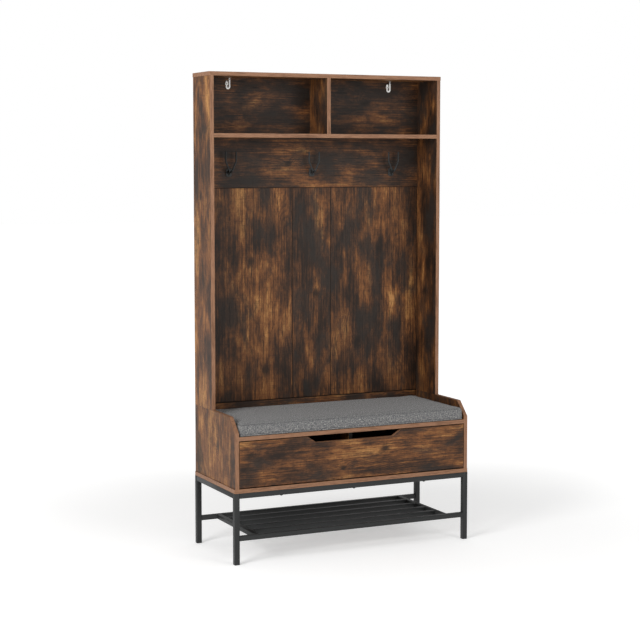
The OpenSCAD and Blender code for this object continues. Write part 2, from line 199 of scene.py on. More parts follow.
def burnt_print(g, grain, late, streak, fibre, print_tone_and_painted_light):
    """The print's colour, from amber glow to charred patches, and how dark the charring is."""
    stain = grain(5.0, 11.0, 6.0, 9.0, 0.66, 0.25)
    glow = grain(4.6, 11.0, 9.0, 9.0, 0.70, 0.15)
    vein = grain(5.0, 210.0, 24.0, 3.0, 0.6)
    crack = grain(11.0, 260.0, 15.0, 3.0, 0.6, 0.4)
    pits = grain(45.0, 170.0, 27.0, 4.0, 0.7)
    saw = grain(330.0, 16.0, 21.0, 2.0)
    lines = g.smooth(streak, 0.40, 0.62, -0.035, 0.035)
    # Tone offset: partly the print's own tone, partly painted light on lit boards and painted shade on
    # shaded ones; it also sets how charred the print is
    tone = g.math("ADD", g.math("MULTIPLY_ADD", g.math("SUBTRACT", vein, 0.5), 0.34, lines),
                  g.math("ADD", glow, print_tone_and_painted_light))
    shade = g.ramp(tone, [(0.35, UMBER), (0.45, WALNUT), (0.56, CHESTNUT), (0.70, AMBER)])
    shade = g.mix(g.math("MULTIPLY", late, 0.6), shade, UMBER)
    burnt = g.math("MULTIPLY_ADD", g.math("SUBTRACT", streak, 0.5), 0.2,
                   g.math("SUBTRACT", stain, 0.8 * print_tone_and_painted_light))
    dark = g.smooth(burnt, 0.46, 0.65, 0.0, 0.85)
    shade = g.mix(dark, shade, CHARCOAL)
    for mark, low, high, share, tint in [
            (pits, 0.54, 0.66, 0.55, UMBER), (crack, 0.57, 0.66, 0.85, DARK_PRINT_AND_PAINTED_SHADE),
            (saw, 0.52, 0.74, 0.35, UMBER), (fibre, 0.35, 0.75, 0.3, UMBER)]:
        shade = g.mix(g.smooth(mark, low, high, 0.0, share), shade, tint)
    return shade, dark


def edge_band(g, axes, along, across, thick):
    """Brown edge band with a fine grain, rubbed darker in places."""
    def drawn(along_scale, other_scale, detail, roughness):
        scaled = [g.math("MULTIPLY", axes[i], along_scale if i == along else other_scale)
                  for i in (along, across, thick)]
        return g.noise(g.join(*scaled), detail, roughness)

    band = g.mix(g.smooth(drawn(40.0, 420.0, 3.0, 0.6), 0.35, 0.75), BAND, BAND_DARK)
    return g.mix(g.smooth(drawn(9.0, 160.0, 4.0, 0.65), 0.50, 0.68, 0.0, 0.6), band, WALNUT)


def board_material(name, along, across, thick, seed, knots, print_tone_and_painted_light, banded):
    """Rustic printed board. The grain runs along one axis, and knots are (along, across, radius) places
    on the face. A banded board's edges carry a plain brown band; another board's edges are near-black
    painted shade."""
    g = Graph(name, specular_ior_level=0.22)
    axes = g.split(g.place)
    u = g.math("ADD", axes[along], seed * 3.7)
    v = g.math("ADD", axes[across], seed * 1.9)

    def grain(along_scale, across_scale, layer, detail=3.0, roughness=0.6, distortion=0.0):
        """Noise drawn out along the board. Each layer is a slice of its own through the noise."""
        x, y = g.math("MULTIPLY", u, along_scale), g.math("MULTIPLY", v, across_scale)
        return g.noise(g.join(x, y, seed + layer), detail, roughness, distortion)

    late, knot_shade = growth_rings(g, axes[along], axes[across], v, knots, grain)
    streak = grain(3.0, 95.0, 12.0, 5.0, 0.7)
    fibre = grain(50.0, 1100.0, 18.0, 2.0)
    shade, dark = burnt_print(g, grain, late, streak, fibre, print_tone_and_painted_light)
    shade = g.mix(g.math("MULTIPLY", knot_shade, 0.85), shade, DARK_PRINT_AND_PAINTED_SHADE)
    facing = g.math("ABSOLUTE", g.split(g.normal)[thick])
    if banded:
        edge, edge_shade = g.smooth(facing, 0.85, 0.7), edge_band(g, axes, along, across, thick)
    else:
        # Painted shade: near-black edges
        edge, edge_shade = g.smooth(facing, 0.99, 0.93), DARK_PRINT_AND_PAINTED_SHADE
    g.set("base color", g.mix(edge, shade, edge_shade))
    g.set("roughness", g.math("MULTIPLY_ADD", streak, 0.16, g.math("MULTIPLY_ADD", dark, 0.08, 0.44)))
    relief = g.math("MULTIPLY_ADD", streak, -1.0, g.math("MULTIPLY_ADD", late, -0.35, fibre))
    g.set("normal", g.bump(relief, 0.25 * MM, 0.5))
    return g.material


def steel_material():
    """Matt black powder coat: fine orange peel and a slightly rubbed sheen."""
    g = Graph("powder_coat", specular_ior_level=0.3)
    fine = g.noise(g.scaled(900.0), 2.0, 0.5)
    cloud = g.noise(g.scaled(14.0), 3.0, 0.6)
    g.set("base color", g.mix(cloud, colour(31, 32, 32), colour(40, 41, 41)))
    g.set("roughness", g.math("MULTIPLY_ADD", cloud, 0.14, 0.42))
    g.set("normal", g.bump(fine, 0.12 * MM, 0.5))
    return g.material


def plastic_material(name, shade, second_shade, grain_scale, rough):
    """Moulded plastic with a fine spark-eroded texture, whose shade drifts a little to a second one."""
    g = Graph(name)
    fine = g.noise(g.scaled(grain_scale), 2.0, 0.5)
    cloud = g.noise(g.scaled(60.0), 2.0, 0.5)
    g.set("base color", g.mix(cloud, shade, second_shade))
    g.set("roughness", g.math("MULTIPLY_ADD", fine, 0.12, rough))
    g.set("normal", g.bump(fine, 0.05 * MM, 0.4))
    return g.material


def zinc_material():
    """Bright zinc plating with its faint spangle and drawing marks."""
    g = Graph("zinc_plate", metallic=1.0)
    drawn = g.noise(g.scaled(2500.0, 120.0, 120.0), 2.0)
    cloud = g.noise(g.scaled(160.0), 3.0, 0.6)
    g.set("base color", g.mix(cloud, colour(188, 190, 194), colour(160, 161, 160)))
    g.set("roughness", g.math("MULTIPLY_ADD", drawn, 0.2, 0.25))
    g.set("normal", g.bump(drawn, 0.03 * MM, 0.3))
    return g.material


def beech_material():
    """Pale turned beech with fine flecks."""
    g = Graph("beech_dowel", roughness=0.6)
    fleck = g.noise(g.scaled(900.0, 900.0, 90.0), 2.0)
    g.set("base color", g.mix(fleck, colour(214, 178, 130), colour(180, 140, 96)))
    g.set("normal", g.bump(fleck, 0.08 * MM, 0.4))
    return g.material


def linen_material():
    """Grey melange linen: a coarse plain weave of light and dark threads, with slubs."""
    g = Graph("linen_weave", roughness=0.92, sheen_weight=0.22, sheen_roughness=0.5)
    x, y, z = g.split(g.place)
    end_face = g.smooth(g.math("ABSOLUTE", g.split(g.normal)[0]), 0.6, 0.8)
    flat = g.math("SUBTRACT", 1.0, end_face)
    weft = g.math("ADD", g.math("MULTIPLY", x, flat), g.math("MULTIPLY", y, end_face))
    warp = g.math("ADD", z, g.math("MULTIPLY", y, flat))
    pitch = 1.35 * MM
    wander = g.noise(g.scaled(45.0), 2.0)
    a = g.math("MULTIPLY_ADD", wander, 2.5, g.math("MULTIPLY", weft, math.tau / pitch / 2))
    b = g.math("MULTIPLY_ADD", wander, -2.5, g.math("MULTIPLY", warp, math.tau / pitch / 2))
    over = g.math("MULTIPLY", g.math("SINE", a), g.math("SINE", b))
    weave = g.math("ABSOLUTE", over)
    slub_x = g.noise(g.join(g.math("MULTIPLY", weft, 70.0), g.math("MULTIPLY", warp, 520.0), 1.0), 3.0, 0.7)
    slub_y = g.noise(g.join(g.math("MULTIPLY", weft, 520.0), g.math("MULTIPLY", warp, 70.0), 5.0), 3.0, 0.7)
    pick = g.smooth(over, -0.12, 0.12)
    thread = g.math("ADD", g.math("MULTIPLY", slub_x, pick),
                    g.math("MULTIPLY", slub_y, g.math("SUBTRACT", 1.0, pick)))
    fleck = g.noise(g.join(g.math("MULTIPLY", weft, 170.0), g.math("MULTIPLY", warp, 260.0), 9.0), 3.0, 0.7)
    thread = g.math("MULTIPLY_ADD", g.math("SUBTRACT", fleck, 0.5), 1.0, thread)
    melange = g.ramp(thread, [
        (0.30, colour(58, 60, 64)), (0.46, colour(94, 94, 95)),
        (0.58, colour(126, 125, 123)), (0.76, colour(192, 189, 184))])
    # Painted shade: darker in the grooves between the threads
    shade = g.mix(g.smooth(weave, 0.35, 0.0, 0.0, 0.45), melange, colour(58, 58, 60))
    upright = g.smooth(g.math("ABSOLUTE", g.split(g.normal)[2]), 0.85, 0.6)
    # Painted shade: a dark line along each seam's crease on the upright faces
    for height in SEAM_HEIGHTS:
        off = g.math("ABSOLUTE", g.math("SUBTRACT", z, height))
        painted_seam_shade = g.math("MULTIPLY", upright, g.smooth(off, 1.3 * MM, 0.5 * MM, 0.0, 0.5))
        shade = g.mix(painted_seam_shade, shade, colour(40, 40, 42))
    g.set("base color", shade)
    height = g.math("ADD", weave, g.math("MULTIPLY", thread, 1.2))
    g.set("normal", g.bump(height, 0.45 * MM, 0.8))
    return g.material


def floor_material():
    """Seamless white studio paper: it stays close to white, with a faint shadow."""
    g = Graph("studio_paper", roughness=0.9, emission_color=(1, 1, 1, 1))
    x, y, _ = g.split(g.place)
    radius = g.math("SQRT", g.math("MULTIPLY_ADD", x, x, g.math("MULTIPLY", y, y)))
    g.set("emission strength", g.smooth(radius, 0.9, 2.6, 0.34, 0.66))
    mottled = g.noise(g.scaled(3.0), 3.0)
    g.set("base color", g.mix(mottled, colour(236, 236, 236), colour(240, 240, 239)))
    return g.material


STEEL = steel_material()
BLACK_PLASTIC = plastic_material(
    "black_moulding", colour(36, 36, 37), colour(44, 44, 45), 1400.0, 0.45)
NYLON = plastic_material("white_nylon", colour(249, 249, 246), colour(243, 243, 240), 900.0, 0.38)
ZINC = zinc_material()
BEECH = beech_material()
LINEN = linen_material()

# ---------------------------------------------------------------- mesh helpers


def piece(name, mesh, material, body="carcass", replaced=(), smooth_angle=35):
    """A new object from a bmesh or mesh, with its material, riding on a body."""
    if isinstance(mesh, bmesh.types.BMesh):
        bmesh.ops.recalc_face_normals(mesh, faces=mesh.faces)
        data = bpy.data.meshes.new(name)
        mesh.to_mesh(data)
        mesh.free()
    else:
        data = mesh
    made = bpy.data.objects.new(name, data)
    SCENE.collection.objects.link(made)
    data.materials.clear()
    data.materials.append(material)
    data.shade_smooth()
    if smooth_angle:
        data.set_sharp_from_angle(angle=math.radians(smooth_angle))
    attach(made, body)
    if replaced:
        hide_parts(*replaced)
    return made


def skin(bm, loops):
    """Faces between each loop of points and the next."""
    for a, b in zip(loops, loops[1:]):
        for i in range(len(a)):
            j = (i + 1) % len(a)
            bm.faces.new((a[i], a[j], b[j], b[i]))


def loft(bm, rings, closed_ends=True):
    """Joins rings of the same number of points into a skin."""
    loops = [[bm.verts.new(p) for p in ring] for ring in rings]
    skin(bm, loops)
    if closed_ends:
        bm.faces.new(loops[0][::-1])
        bm.faces.new(loops[-1])
    return loops


def fill_between(bm, outer, inner):
    """A flat face between two loops of points."""
    edges = [bm.edges.get((loop[i], loop[(i + 1) % len(loop)]))
             for loop in (outer, inner) for i in range(len(loop))]
    bmesh.ops.triangle_fill(bm, edges=edges, use_beauty=True)


def circle_points(matrix, radius, z, sides):
    """Points of a circle round the local Z axis."""
    return [matrix @ Vector((radius * math.cos(t), radius * math.sin(t), z))
            for t in [math.tau * k / sides for k in range(sides)]]


def sweep(bm, path, radii, sides):
    """A round bar along a smooth path of points, with its own radius at each."""
    points = [Vector(p) for p in path]
    tangents = [(points[min(i + 1, len(points) - 1)] - points[max(i - 1, 0)]).normalized()
                for i in range(len(points))]
    side = tangents[0].orthogonal().normalized()
    rings = []
    for point, tangent, r in zip(points, tangents, radii):
        side = (side - tangent * side.dot(tangent)).normalized()
        up = tangent.cross(side)
        rings.append([point + (side * math.cos(t) + up * math.sin(t)) * r
                      for t in [math.tau * k / sides for k in range(sides)]])
    loft(bm, rings)


def smooth_path(points, steps=8):
    """A Catmull-Rom curve through the points."""
    p = [Vector(q) for q in points]
    p = [2 * p[0] - p[1]] + p + [2 * p[-1] - p[-2]]
    path = []
    for i in range(1, len(p) - 2):
        for k in range(steps):
            t = k / steps
            path.append(0.5 * (2 * p[i] + (p[i + 1] - p[i - 1]) * t
                               + (2 * p[i - 1] - 5 * p[i] + 4 * p[i + 1] - p[i + 2]) * t * t
                               + (3 * p[i] - p[i - 1] - 3 * p[i + 1] + p[i + 2]) * t ** 3))
    return path + [p[-2]]


def lathe(bm, profile, matrix, sides=32):
    """Turns (radius, height) points round the local Z axis."""
    loft(bm, [circle_points(matrix, r, z, sides) for r, z in profile])


def rounded_rectangle(half_a, half_b, r, steps=4):
    """Corner points, anticlockwise, of a rectangle with round corners."""
    return [(sa * (half_a - r) + r * math.cos(t), sb * (half_b - r) + r * math.sin(t))
            for q, (sa, sb) in enumerate([(1, 1), (-1, 1), (-1, -1), (1, -1)])
            for t in [(q + k / steps) * math.pi / 2 for k in range(steps + 1)]]


# ------------------------------------------------------------------ CAD nodes

def soften(node, width, segments=3):
    """Rounds a CAD node's edges with modifiers; its own mesh stays as packed."""
    weld = node.modifiers.new("weld", "WELD")
    weld.merge_threshold = 0.01 * MM
    bevel = node.modifiers.new("edges", "BEVEL")
    bevel.width = width
    bevel.segments = segments
    bevel.limit_method = "ANGLE"
    bevel.angle_limit = math.radians(40)
    bevel.use_clamp_overlap = True
    bevel.miter_outer = "MITER_ARC"
    shade = node.modifiers.new("shading", "WEIGHTED_NORMAL")
    shade.keep_sharp = True


def dress(name, material, width=0.3 * MM, segments=2):
    """Gives a CAD node its material and soft edges."""
    node = NODES[name]
    node.data.materials.clear()
    node.data.materials.append(material)
    soften(node, width, segments)


# A board's axes (along the grain, across it, through its thickness), the seed of its print, its
# knots and how much warmer and lighter, or cooler and darker, its print is than the others: partly the
# print's own tone, partly painted light on the lit left sides and painted shade on the shaded back
# boards, right inner side and cubby divider
BOARDS = {
    "top_panel": (0, 1, 2, 1.0, [(-0.2, 0.12, 0.012), (0.3, 0.09, 0.01)], 0.035),
    "upper_side_left": (2, 1, 0, 2.3, [(0.80, 0.09, 0.010), (1.34, 0.13, 0.012)], 0.04),
    "upper_side_right": (2, 1, 0, 3.1, [(0.95, 0.12, 0.012), (1.66, 0.08, 0.008)], -0.03),
    "cubby_divider": (2, 1, 0, 4.2, [(1.66, 0.12, 0.008)], -0.03),
    "upper_shelf": (0, 1, 2, 5.4, [(0.2, 0.1, 0.010)], 0.02),
    "upper_back_board": (0, 2, 1, 6.1, [
        (-0.1, 1.46, 0.012), (0.24, 1.70, 0.014), (0.39, 1.42, 0.012)], -0.04),
    "back_board_left": (2, 0, 1, 7.7, [(0.66, -0.20, 0.022), (1.08, -0.26, 0.016)], 0.01),
    "back_board_middle": (2, 0, 1, 8.9, [(0.95, 0.02, 0.014)], -0.04),
    "back_board_right": (2, 0, 1, 9.3, [(1.12, 0.30, 0.016), (0.75, 0.20, 0.020)], -0.03),
    "bench_side_left": (2, 1, 0, 10.6, [(0.42, -0.03, 0.014)], 0.05),
    "bench_side_right": (2, 1, 0, 11.2, [(0.36, 0.06, 0.014)], 0.03),
    "bench_back_board": (0, 2, 1, 12.4, [(-0.3, 0.42, 0.014)], 0.0),
    "seat_board": (0, 1, 2, 13.1, [(0.1, 0.0, 0.012)], 0.02),
    "base_panel": (0, 1, 2, 14.5, [(-0.15, 0.05, 0.012)], 0.02),
    "middle_support": (2, 1, 0, 15.8, [(0.38, 0.0, 0.010)], 0.0),
    "flap_door": (0, 2, 1, 16.9, [
        (-0.425, 0.400, 0.014), (0.127, 0.387, 0.014), (-0.05, 0.325, 0.009)], 0.015),
}
# Painted shade: these boards' edges are near-black, for the shade in the seams between the back boards and
# round the middle support in its cut-out, shown over a wider rounded edge
SHADE_PAINTED_EDGES = ("back_board_left", "back_board_middle", "back_board_right", "upper_back_board",
              "bench_back_board", "middle_support")
for name, (along, across, thick, seed, knots, print_tone_and_painted_light) in BOARDS.items():
    banded = name not in SHADE_PAINTED_EDGES
    finish = board_material("board_" + name, along, across, thick, seed, knots, print_tone_and_painted_light, banded)
    dress(name, finish, 0.8 * MM if banded else 3.0 * MM, 3)

for name in ("pivot_pins", "strike_plates", "stay_base_left", "stay_base_right", "stay_rod_left",
             "stay_rod_right", "stay_bracket_left", "stay_bracket_right", "cam_bolts"):
    dress(name, ZINC)
for name in ("stay_swivel_left", "stay_swivel_right", "magnet_catches", "pivot_bushes"):
    dress(name, BLACK_PLASTIC, 0.6 * MM)
dress("dowels", BEECH, 0.5 * MM)


# ---------------------------------------------------------------- steel frame

def tube_mesh(node):
    """Square tube with rounded corners, inside and out, in place of a CAD tube."""
    low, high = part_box(node)
    size = high - low
    axis = max(range(3), key=lambda i: size[i])
    a, b = [i for i in range(3) if i != axis]
    middle = (low + high) / 2
    half, wall, lip = size[a] / 2, 1.5 * MM, 0.35 * MM

    def ring(half_width, r, along):
        points = []
        for p, q in rounded_rectangle(half_width, half_width, r):
            point = Vector((0, 0, 0))
            point[a], point[b], point[axis] = middle[a] + p, middle[b] + q, along
            points.append(point)
        return points

    start, end = low[axis], high[axis]
    outer, inner = 2.0 * MM, 0.6 * MM
    rings = [
        ring(half - lip, outer - lip, start), ring(half, outer, start + lip),
        ring(half, outer, end - lip), ring(half - lip, outer - lip, end),
        ring(half - wall, inner, end), ring(half - wall, inner, start)]
    bm = bmesh.new()
    loops = loft(bm, rings, closed_ends=False)
    skin(bm, [loops[-1], loops[0]])
    return bm


TUBE_KINDS = ("leg_", "top_rail_", "shelf_rail_", "shelf_crossbar_", "shelf_slat_")
for name in [n for n in NODES if n.startswith(TUBE_KINDS)]:
    piece("tube_" + name, tube_mesh(name), STEEL, replaced=[name], smooth_angle=50)


def weld_bead(bm, start, end, r):
    """A rippled fillet of weld between two points."""
    run = Vector(end) - Vector(start)
    count = max(6, int(run.length / (0.5 * r)))
    path = [Vector(start) + run * k / count for k in range(count + 1)]
    radii = [r * (0.35 if k in (0, count) else 1.0 + 0.14 * math.cos(math.pi * k))
             for k in range(count + 1)]
    sweep(bm, path, radii, sides=8)


def weld_beads():
    """Beads where the frame's tubes meet, on the faces that the maker welds."""
    bm = bmesh.new()
    r = 1.3 * MM
    clear = 3 * MM
    slats = sorted(n for n in NODES if n.startswith("shelf_slat_"))
    for side in ("left", "right"):
        sx = -1 if side == "left" else 1
        for rail in ("front", "back"):
            sy = -1 if rail == "front" else 1
            low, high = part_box(f"leg_{rail}_{side}")
            inner_x = high.x if sx < 0 else low.x
            inner_y = high.y if sy < 0 else low.y
            top_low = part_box("top_rail_" + rail)[0]
            shelf_low, shelf_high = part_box("shelf_rail_" + rail)
            side_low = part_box("top_rail_" + side)[0]
            for z in (top_low.z, shelf_low.z, shelf_high.z):
                weld_bead(bm, (inner_x, low.y + clear, z), (inner_x, high.y - clear, z), r)
            z = side_low.z
            weld_bead(bm, (low.x + clear, inner_y, z), (high.x - clear, inner_y, z), r)
            bar_low, bar_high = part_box("shelf_crossbar_" + side)
            rail_y = shelf_high.y if sy < 0 else shelf_low.y
            for x in (bar_low.x, bar_high.x):
                weld_bead(bm, (x, rail_y, bar_low.z + clear), (x, rail_y, bar_high.z - clear), r)
        for slat in slats:
            slat_low, slat_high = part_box(slat)
            x = slat_low.x if sx < 0 else slat_high.x
            for y in (slat_low.y, slat_high.y):
                weld_bead(bm, (x, y, slat_low.z + clear), (x, y, slat_high.z - clear), r)
    return bm


piece("weld_beads", weld_beads(), STEEL)


def foot_caps():
    """Plastic caps under the legs, with a plug that shows inside the tube."""
    bm = bmesh.new()
    low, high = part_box("foot_caps")
    leg_low, leg_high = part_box("leg_front_left")
    half = (leg_high.x - leg_low.x) / 2
    t = leg_low.z
    for x in (low.x + half, high.x - half):
        for y in (low.y + half, high.y - half):
            def ring(width, r, z):
                return [(x + p, y + q, z) for p, q in rounded_rectangle(width, width, r)]
            loft(bm, [ring(half - 1.0 * MM, 1.5 * MM, 0), ring(half - 0.2 * MM, 2.2 * MM, 0.8 * MM),
                      ring(half, 2.4 * MM, 1.6 * MM), ring(half, 2.4 * MM, t - 0.4 * MM),
                      ring(half - 0.4 * MM, 2.0 * MM, t)])
            plug = half - 1.7 * MM
            loft(bm, [ring(plug, 0.6 * MM, t), ring(plug, 0.6 * MM, t + 11 * MM),
                      ring(plug - 1 * MM, 0.5 * MM, t + 12 * MM)])
    return bm


piece("foot_cap_set", foot_caps(), BLACK_PLASTIC, replaced=["foot_caps"])


# ----------------------------------------------------------------- fasteners

HEAD_SKIRT = 0.6 * MM


def cross_recess(bm, matrix, reach, width, depth):
    """A cross-shaped pit's walls and floor, sunk below the head's face."""
    h, w = reach, width / 2
    outline = [(w, w), (w, h), (-w, h), (-w, w), (-h, w), (-h, -w),
               (-w, -w), (-w, -h), (w, -h), (w, -w), (h, -w), (h, w)]
    top = [bm.verts.new(matrix @ Vector((a, b, 0))) for a, b in outline]
    bottom = [bm.verts.new(matrix @ Vector((a * 0.6, b * 0.6, -depth))) for a, b in outline]
    skin(bm, [top, bottom])
    bm.faces.new(bottom)
    return top


def screw_head(bm, matrix, radius, crown, sides=36):
    """A driven screw head: crowned rim round a cross recess. Its face is at local z = 0."""
    cross = cross_recess(bm, matrix, radius * 0.58, radius * 0.2, radius * 0.45)
    rim, skirt = [[bm.verts.new(p) for p in circle_points(matrix, radius, z, sides)]
                  for z in (-crown, -crown - HEAD_SKIRT)]
    skin(bm, [rim, skirt])
    bm.faces.new(skirt[::-1])
    fill_between(bm, rim, cross)


def looking(place, direction):
    """Matrix that puts local +Z along a direction at a place."""
    turn = Vector(direction).to_track_quat("Z", "Y").to_matrix().to_4x4()
    return Matrix.Translation(Vector(place)) @ turn


def islands(node):
    """Boxes of the separate solids in a CAD node."""
    bm = bmesh.new()
    bm.from_mesh(NODES[node].data)
    bmesh.ops.remove_doubles(bm, verts=bm.verts, dist=0.01 * MM)
    found, seen = [], set()
    for start in bm.verts:
        if start in seen:
            continue
        group, todo = [], [start]
        seen.add(start)
        while todo:
            v = todo.pop()
            group.append(v.co.copy())
            for e in v.link_edges:
                other = e.other_vert(v)
                if other not in seen:
                    seen.add(other)
                    todo.append(other)
        found.append((Vector([min(p[i] for p in group) for i in range(3)]),
                      Vector([max(p[i] for p in group) for i in range(3)])))
    bm.free()
    return sorted(found, key=lambda b: tuple(round(c, 4) for c in b[0]))


def shank(bm, matrix, radius, length, pitch):
    """Threaded shank that tapers to a point."""
    profile = [(radius * 0.96, 0)]
    turns = int(length / pitch)
    for k in range(turns):
        z = -length * 0.12 - (length * 0.8) * k / turns
        profile += [(radius * 0.72, z), (radius, z - pitch * 0.4)]
    profile += [(radius * 0.6, -length * 0.96), (radius * 0.1, -length)]
    lathe(bm, profile, matrix, sides=20)


def panel_screws():
    """Wood screws: upright ones through the panels, short ones through the straps."""
    bm = bmesh.new()
    for low, high in islands("panel_screws"):
        size, middle = high - low, (low + high) / 2
        if size.z > size.y:
            up = middle.z > 1.0
            face = Vector((middle.x, middle.y, high.z if up else low.z))
            matrix = looking(face, Z if up else -Z)
            radius, crown = size.x / 2, 0.15 * MM
            length = size.z
        else:
            face = Vector((middle.x, low.y, middle.z))
            matrix = looking(face, -Y)
            radius, crown = size.x / 2, 0.7 * MM
            length = size.y
        screw_head(bm, matrix, radius, crown)
        start = matrix @ Matrix.Translation((0, 0, -crown - HEAD_SKIRT))
        shank(bm, start, radius * 0.5, length - 1.5 * MM, pitch=1.8 * MM)
    return bm


piece("panel_screw_set", panel_screws(), ZINC, replaced=["panel_screws"])


def hook_screws():
    """Screws with raised heads that hold the hooks to the back board."""
    bm = bmesh.new()
    for low, high in islands("hook_screws"):
        middle = (low + high) / 2
        matrix = looking((middle.x, low.y, middle.z), -Y)
        crown = 0.8 * MM
        screw_head(bm, matrix, (high.x - low.x) / 2, crown)
        start = matrix @ Matrix.Translation((0, 0, -crown - HEAD_SKIRT))
        shank(bm, start, radius=1.75 * MM, length=high.y - low.y - 1.5 * MM, pitch=1.4 * MM)
    return bm


piece("hook_screw_set", hook_screws(), STEEL, replaced=["hook_screws"])


def frame_bolts():
    """Button-head bolts with a hexagon socket, up through the top rails into the base panel."""
    bm = bmesh.new()
    for low, high in islands("frame_bolts"):
        middle = (low + high) / 2
        matrix = looking((middle.x, middle.y, low.z), -Z)
        r = (high.x - low.x) / 2
        head, sides = 4 * MM, 36
        dome = [(r * 0.42, 0), (r * 0.62, -0.1 * r), (r * 0.85, -0.28 * r), (r, -0.52 * r), (r, -head)]
        rings = [circle_points(matrix, q, z, sides) for q, z in dome]
        hexagon = [(r * 0.36 / max(abs(math.cos((t + math.pi / 6) % (math.pi / 3) - math.pi / 6)), 0.5))
                   for t in [math.tau * k / sides for k in range(sides)]]
        pit = [[matrix @ Vector((h * math.cos(math.tau * k / sides), h * math.sin(math.tau * k / sides), z))
                for k, h in enumerate(hexagon)] for z in (-0.5 * r, 0.0)]
        loft(bm, pit + rings)
        start = matrix @ Matrix.Translation((0, 0, -head))
        shank(bm, start, radius=3 * MM, length=high.z - low.z - head, pitch=1.0 * MM)
    return bm


piece("frame_bolt_set", frame_bolts(), STEEL, replaced=["frame_bolts"])


def cam_locks():
    """Cam lock discs with a cross slot, in the undersides of the boards."""
    bm = bmesh.new()
    for low, high in islands("cam_locks"):
        middle = (low + high) / 2
        r = (high.x - low.x) / 2
        matrix = looking((middle.x, middle.y, low.z), -Z)
        cross = cross_recess(bm, matrix, 0.62 * r, 0.2 * r, 2.2 * MM)
        chamfer, waist = 0.5 * MM, r - 0.8 * MM
        profile = [(r - chamfer, 0), (r, -chamfer), (r, -3 * MM), (waist, -3.6 * MM),
                   (waist, -9 * MM), (r, -9.6 * MM), (r, -(high.z - low.z))]
        loops = [[bm.verts.new(p) for p in circle_points(matrix, q, z, 40)] for q, z in profile]
        skin(bm, loops)
        bm.faces.new(loops[-1])
        fill_between(bm, loops[0], cross)
    return bm


piece("cam_lock_set", cam_locks(), ZINC, replaced=["cam_locks"])


# ----------------------------------------------------------------- coat hooks

def fuse(made, voxel, rounds):
    """Turns overlapping shells into one smooth casting."""
    remesh = made.modifiers.new("fuse", "REMESH")
    remesh.mode = "VOXEL"
    remesh.voxel_size = voxel
    remesh.use_smooth_shade = True
    relax = made.modifiers.new("relax", "SMOOTH")
    relax.factor = 0.5
    relax.iterations = rounds
    bake_modifiers(made)


def bake_modifiers(made):
    """Replaces an object's mesh with its evaluated one."""
    graph = bpy.context.evaluated_depsgraph_get()
    data = bpy.data.meshes.new_from_object(made.evaluated_get(graph))
    made.modifiers.clear()
    made.data = data
    data.shade_smooth()


def coat_hook(side):
    """Cast double hook: an oval plate, a boss and two prongs with ball tips."""
    node = "coat_hook_" + side
    low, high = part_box(node)
    x = (low.x + high.x) / 2
    wall, front = high.y, low.y
    r = 3.25 * MM
    ball = r * 1.03
    prong_x = (high.x - low.x) / 2 - ball
    prong_y = front + ball
    plate_half, plate_h, plate_t = 12 * MM, 32 * MM, 3 * MM
    bm = bmesh.new()
    outline = rounded_rectangle(plate_half, plate_h / 2, 7 * MM, steps=8)

    def layer(inset, y):
        k = 1 - inset / plate_half
        return [(x + p * k, y, low.z + plate_h / 2 + q * (1 - inset * 2 / plate_h)) for p, q in outline]

    loft(bm, [layer(0, wall), layer(0, wall - plate_t + 0.9 * MM),
              layer(0.35 * MM, wall - plate_t + 0.25 * MM), layer(1.0 * MM, wall - plate_t)])
    boss = looking((x, wall - plate_t + 0.5 * MM, low.z + plate_h / 2), -Y)
    lathe(bm, [(8.0 * MM, -1 * MM), (7.6 * MM, 0.8 * MM), (6.3 * MM, 3.0 * MM), (4.6 * MM, 5.0 * MM),
               (2.0 * MM, 6.0 * MM)], boss)
    for s in (-1, 1):
        route = smooth_path([
            (x + s * 2.0 * MM, wall - plate_t, low.z + 15.5 * MM),
            (x + s * 3.6 * MM, (wall - plate_t + prong_y) / 2 - 1 * MM, low.z + 18.5 * MM),
            (x + s * 7.0 * MM, prong_y + 1.2 * MM, low.z + 25 * MM),
            (x + s * 14.0 * MM, prong_y, low.z + 42 * MM),
            (x + s * (prong_x - 0.9 * MM), prong_y, low.z + 57 * MM),
            (x + s * prong_x, prong_y, low.z + 68 * MM),
            (x + s * prong_x, prong_y, low.z + 80 * MM),
            (x + s * prong_x, prong_y, high.z - ball)])
        count = len(route) - 1
        radii = [r * (1.18 - 0.25 * min(1, 1.6 * k / count)) for k in range(count + 1)]
        sweep(bm, route, radii, sides=20)
        tip = Matrix.Translation((x + s * prong_x, prong_y, high.z - ball))
        bmesh.ops.create_uvsphere(bm, u_segments=24, v_segments=16, radius=ball, matrix=tip)
    made = piece("hook_casting_" + side, bm, STEEL, replaced=[node], smooth_angle=0)
    fuse(made, voxel=0.7 * MM, rounds=3)


for side in ("left", "middle", "right"):
    coat_hook(side)


# ------------------------------------------------------------ anti-tip straps

